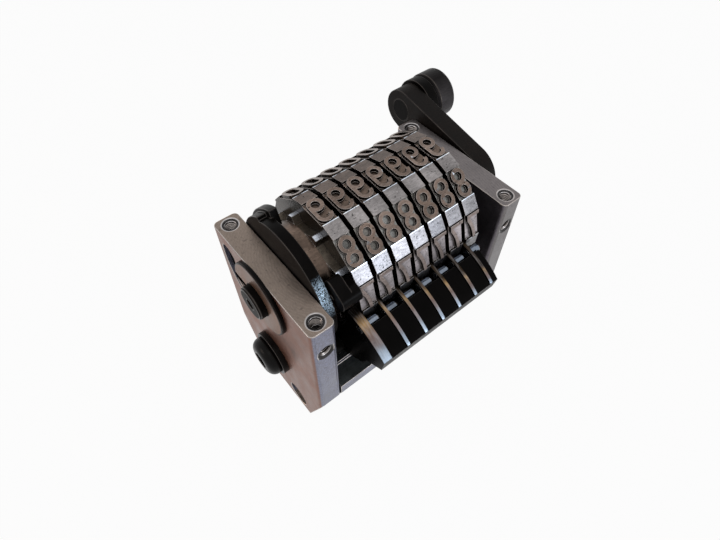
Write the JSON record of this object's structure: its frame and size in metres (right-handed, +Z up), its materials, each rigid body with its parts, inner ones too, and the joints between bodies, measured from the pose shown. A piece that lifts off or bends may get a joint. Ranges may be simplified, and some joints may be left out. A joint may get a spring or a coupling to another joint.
{
  "type": "numbering machine",
  "caption": "Rotary numbering box: printing wheels on one shaft between two ground plates, driven by a crank lever with a cam roller, with sprung index blades in front.",
  "frame": {"origin": "middle of the flat underside, between the two side plates", "axes": "+X along the shaft from the left plate to the crank lever, +Y to the back where the lever points, +Z up"},
  "size_m": [0.0785, 0.0565, 0.059],
  "materials": {
    "ground_steel": "surface ground, fine swirl marks",
    "base_steel": "milled, slightly dull",
    "bright_steel": "turned, bright",
    "bush_metal": "polished face, dark rim",
    "black_shaft": "black oxide, polished",
    "black_steel": "black oxide, worn at the rims",
    "lever_black": "black oxide, brown cast, half matt",
    "black_screw": "black oxide",
    "roller_steel": "hardened and blued, bright rim",
    "ratchet_steel": "ground, oily brown, bright teeth",
    "wheel_steel": "satin steel, worn bright figures",
    "blade_black": "black oxide sides, bright ground front edge",
    "nose_steel": "polished",
    "spring_steel": "drawn wire"
  },
  "bodies": {
    "frame": {"left_side_plate": "ground_steel", "right_side_plate": "ground_steel", "base_block": "base_steel", "rear_tie_rod": "bright_steel", "left_bush": "bush_metal", "right_bush": "bush_metal", "spring_anchor_pin": "bright_steel", "return_spring": "spring_steel", "blade_pivot_rod": "bright_steel", "pivot_sleeves": "black_steel", "blade_springs": "spring_steel", "side_screws": "black_screw", "side_washers": "black_screw", "base_screws": "black_screw"},
    "crank": {"main_shaft": "black_shaft", "swing_arm": "black_steel", "stop_pin": "black_steel", "drive_pawl_pin": "black_steel", "pawl_spring": "spring_steel", "shaft_collar": "bright_steel", "crank_lever": "lever_black", "lever_key": "bright_steel", "lever_washer": "black_screw", "lever_screw": "black_screw", "roller_stud": "bright_steel", "roller_collar": "black_steel", "roller_retainer": "bright_steel"},
    "cam_roller": {"cam_roller": "roller_steel"},
    "drive_pawl": {"drive_pawl": "black_steel"},
    "wheel_1": {"number_wheel_1": "wheel_steel", "units_ratchet": "ratchet_steel"},
    "wheel_2": {"number_wheel_2": "wheel_steel"},
    "wheel_3": {"number_wheel_3": "wheel_steel"},
    "wheel_4": {"number_wheel_4": "wheel_steel"},
    "wheel_5": {"number_wheel_5": "wheel_steel"},
    "wheel_6": {"number_wheel_6": "wheel_steel"},
    "wheel_7": {"number_wheel_7": "wheel_steel"},
    "blade_1": {"index_blade_1": "blade_black", "blade_nose_1": "nose_steel"},
    "blade_2": {"index_blade_2": "blade_black", "blade_nose_2": "nose_steel"},
    "blade_3": {"index_blade_3": "blade_black", "blade_nose_3": "nose_steel"},
    "blade_4": {"index_blade_4": "blade_black", "blade_nose_4": "nose_steel"},
    "blade_5": {"index_blade_5": "blade_black", "blade_nose_5": "nose_steel"},
    "blade_6": {"index_blade_6": "blade_black", "blade_nose_6": "nose_steel"},
    "blade_7": {"index_blade_7": "blade_black", "blade_nose_7": "nose_steel"}
  },
  "joints": [
    {"name": "lever_swing", "type": "hinge", "parent": "frame", "child": "crank", "pos_m": [0, 0.0003, 0.042], "axis": [1, 0, 0], "range_deg": [-45, 0], "stiffness_Nm_per_rad": 0.05, "springref_deg": 28.65, "deforming": ["return_spring"]},
    {"name": "roller_turn", "type": "hinge", "parent": "crank", "child": "cam_roller", "pos_m": [0.041, 0.02371, 0.04889], "axis": [1, 0, 0], "continuous": true},
    {"name": "pawl_lift", "type": "hinge", "parent": "crank", "child": "drive_pawl", "pos_m": [-0.0192, -0.01228, 0.04814], "axis": [1, 0, 0], "range_deg": [0, 15], "stiffness_Nm_per_rad": 0.002, "springref_deg": -28.65, "deforming": ["pawl_spring"]},
    {"name": "wheel_1_turn", "type": "hinge", "parent": "frame", "child": "wheel_1", "pos_m": [-0.01371, 0.0003, 0.042], "axis": [1, 0, 0], "continuous": true},
    {"name": "wheel_2_turn", "type": "hinge", "parent": "frame", "child": "wheel_2", "pos_m": [-0.00864, 0.0003, 0.042], "axis": [1, 0, 0], "continuous": true},
    {"name": "wheel_3_turn", "type": "hinge", "parent": "frame", "child": "wheel_3", "pos_m": [-0.00357, 0.0003, 0.042], "axis": [1, 0, 0], "continuous": true},
    {"name": "wheel_4_turn", "type": "hinge", "parent": "frame", "child": "wheel_4", "pos_m": [0.00151, 0.0003, 0.042], "axis": [1, 0, 0], "continuous": true},
    {"name": "wheel_5_turn", "type": "hinge", "parent": "frame", "child": "wheel_5", "pos_m": [0.00658, 0.0003, 0.042], "axis": [1, 0, 0], "continuous": true},
    {"name": "wheel_6_turn", "type": "hinge", "parent": "frame", "child": "wheel_6", "pos_m": [0.01165, 0.0003, 0.042], "axis": [1, 0, 0], "continuous": true},
    {"name": "wheel_7_turn", "type": "hinge", "parent": "frame", "child": "wheel_7", "pos_m": [0.01672, 0.0003, 0.042], "axis": [1, 0, 0], "continuous": true},
    {"name": "blade_1_lift", "type": "hinge", "parent": "frame", "child": "blade_1", "pos_m": [-0.01693, -0.01034, 0.02471], "axis": [1, 0, 0], "range_deg": [0, 10], "stiffness_Nm_per_rad": 0.01, "springref_deg": -17.19, "deforming": ["blade_springs"]},
    {"name": "blade_2_lift", "type": "hinge", "parent": "frame", "child": "blade_2", "pos_m": [-0.01117, -0.01034, 0.02471], "axis": [1, 0, 0], "range_deg": [0, 10], "stiffness_Nm_per_rad": 0.01, "springref_deg": -17.19, "deforming": ["blade_springs"]},
    {"name": "blade_3_lift", "type": "hinge", "parent": "frame", "child": "blade_3", "pos_m": [-0.0061, -0.01034, 0.02471], "axis": [1, 0, 0], "range_deg": [0, 10], "stiffness_Nm_per_rad": 0.01, "springref_deg": -17.19, "deforming": ["blade_springs"]},
    {"name": "blade_4_lift", "type": "hinge", "parent": "frame", "child": "blade_4", "pos_m": [-0.00103, -0.01034, 0.02471], "axis": [1, 0, 0], "range_deg": [0, 10], "stiffness_Nm_per_rad": 0.01, "springref_deg": -17.19, "deforming": ["blade_springs"]},
    {"name": "blade_5_lift", "type": "hinge", "parent": "frame", "child": "blade_5", "pos_m": [0.00404, -0.01034, 0.02471], "axis": [1, 0, 0], "range_deg": [0, 10], "stiffness_Nm_per_rad": 0.01, "springref_deg": -17.19, "deforming": ["blade_springs"]},
    {"name": "blade_6_lift", "type": "hinge", "parent": "frame", "child": "blade_6", "pos_m": [0.00911, -0.01034, 0.02471], "axis": [1, 0, 0], "range_deg": [0, 10], "stiffness_Nm_per_rad": 0.01, "springref_deg": -17.19, "deforming": ["blade_springs"]},
    {"name": "blade_7_lift", "type": "hinge", "parent": "frame", "child": "blade_7", "pos_m": [0.01418, -0.01034, 0.02471], "axis": [1, 0, 0], "range_deg": [0, 10], "stiffness_Nm_per_rad": 0.01, "springref_deg": -17.19, "deforming": ["blade_springs"]}
  ]
}
